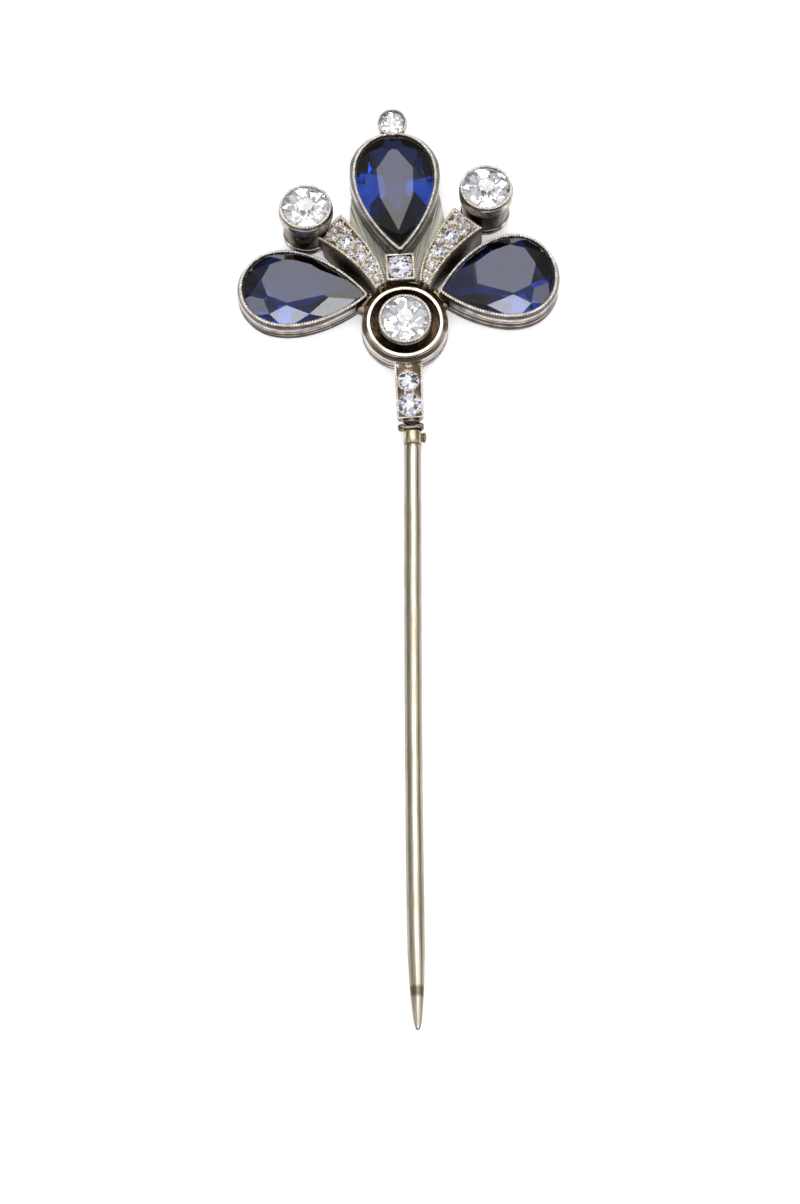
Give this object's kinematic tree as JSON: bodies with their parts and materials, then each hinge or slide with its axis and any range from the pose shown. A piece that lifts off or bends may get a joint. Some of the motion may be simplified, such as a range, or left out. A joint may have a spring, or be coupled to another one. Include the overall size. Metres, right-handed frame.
{
  "type": "hat pin",
  "caption": "Stick pin with a fan of pear-shaped sapphires, round diamonds in milgrain collets, pave arms, a polished ring and a long straight stem.",
  "frame": {"origin": "on the flat back of the back plate, behind the box setting between the top pear and the ring", "axes": "+Z out of the jewelled face, +Y along the pin from its point towards the crown, +X to the viewer's right"},
  "size_m": [0.0248, 0.0732, 0.0054],
  "materials": {
    "platinum": "worn polished platinum, darker in the recesses",
    "white_gold": "warm grey white gold with fine scratches along the stem",
    "gold": "yellow gold and gold solder, slightly worn",
    "sapphire": "polished facets, very dark blue",
    "diamond": "old-cut facets, colourless"
  },
  "bodies": {
    "root": {"back_plate": "platinum", "box_diamond": "diamond", "box_setting": "platinum", "center_bridge": "gold", "center_collet": "platinum", "center_diamond": "diamond", "center_ring": "platinum", "crown_collet": "platinum", "crown_diamond": "diamond", "joint_collar": "platinum", "joint_lug": "gold", "joint_neck": "platinum", "left_arm": "platinum", "left_arm_diamond_1": "diamond", "left_arm_diamond_2": "diamond", "left_arm_diamond_3": "diamond", "left_collet_base": "platinum", "left_diamond": "diamond", "left_pear_base_rail": "platinum", "left_pear_collet": "platinum", "left_pear_gallery_rail": "platinum", "left_round_collet": "platinum", "left_sapphire": "sapphire", "lower_bar_diamond": "diamond", "pin_stem": "white_gold", "right_arm": "platinum", "right_arm_diamond_1": "diamond", "right_arm_diamond_2": "diamond", "right_arm_diamond_3": "diamond", "right_collet_base": "platinum", "right_diamond": "diamond", "right_pear_base_rail": "platinum", "right_pear_collet": "platinum", "right_pear_gallery_rail": "platinum", "right_round_collet": "platinum", "right_sapphire": "sapphire", "ring_gallery": "platinum", "stem_bar": "platinum", "stem_sleeve": "gold", "top_pear_base_rail": "platinum", "top_pear_collet": "platinum", "top_pear_gallery_rail": "platinum", "top_sapphire": "sapphire", "upper_bar_diamond": "diamond"}
  },
  "joints": []
}
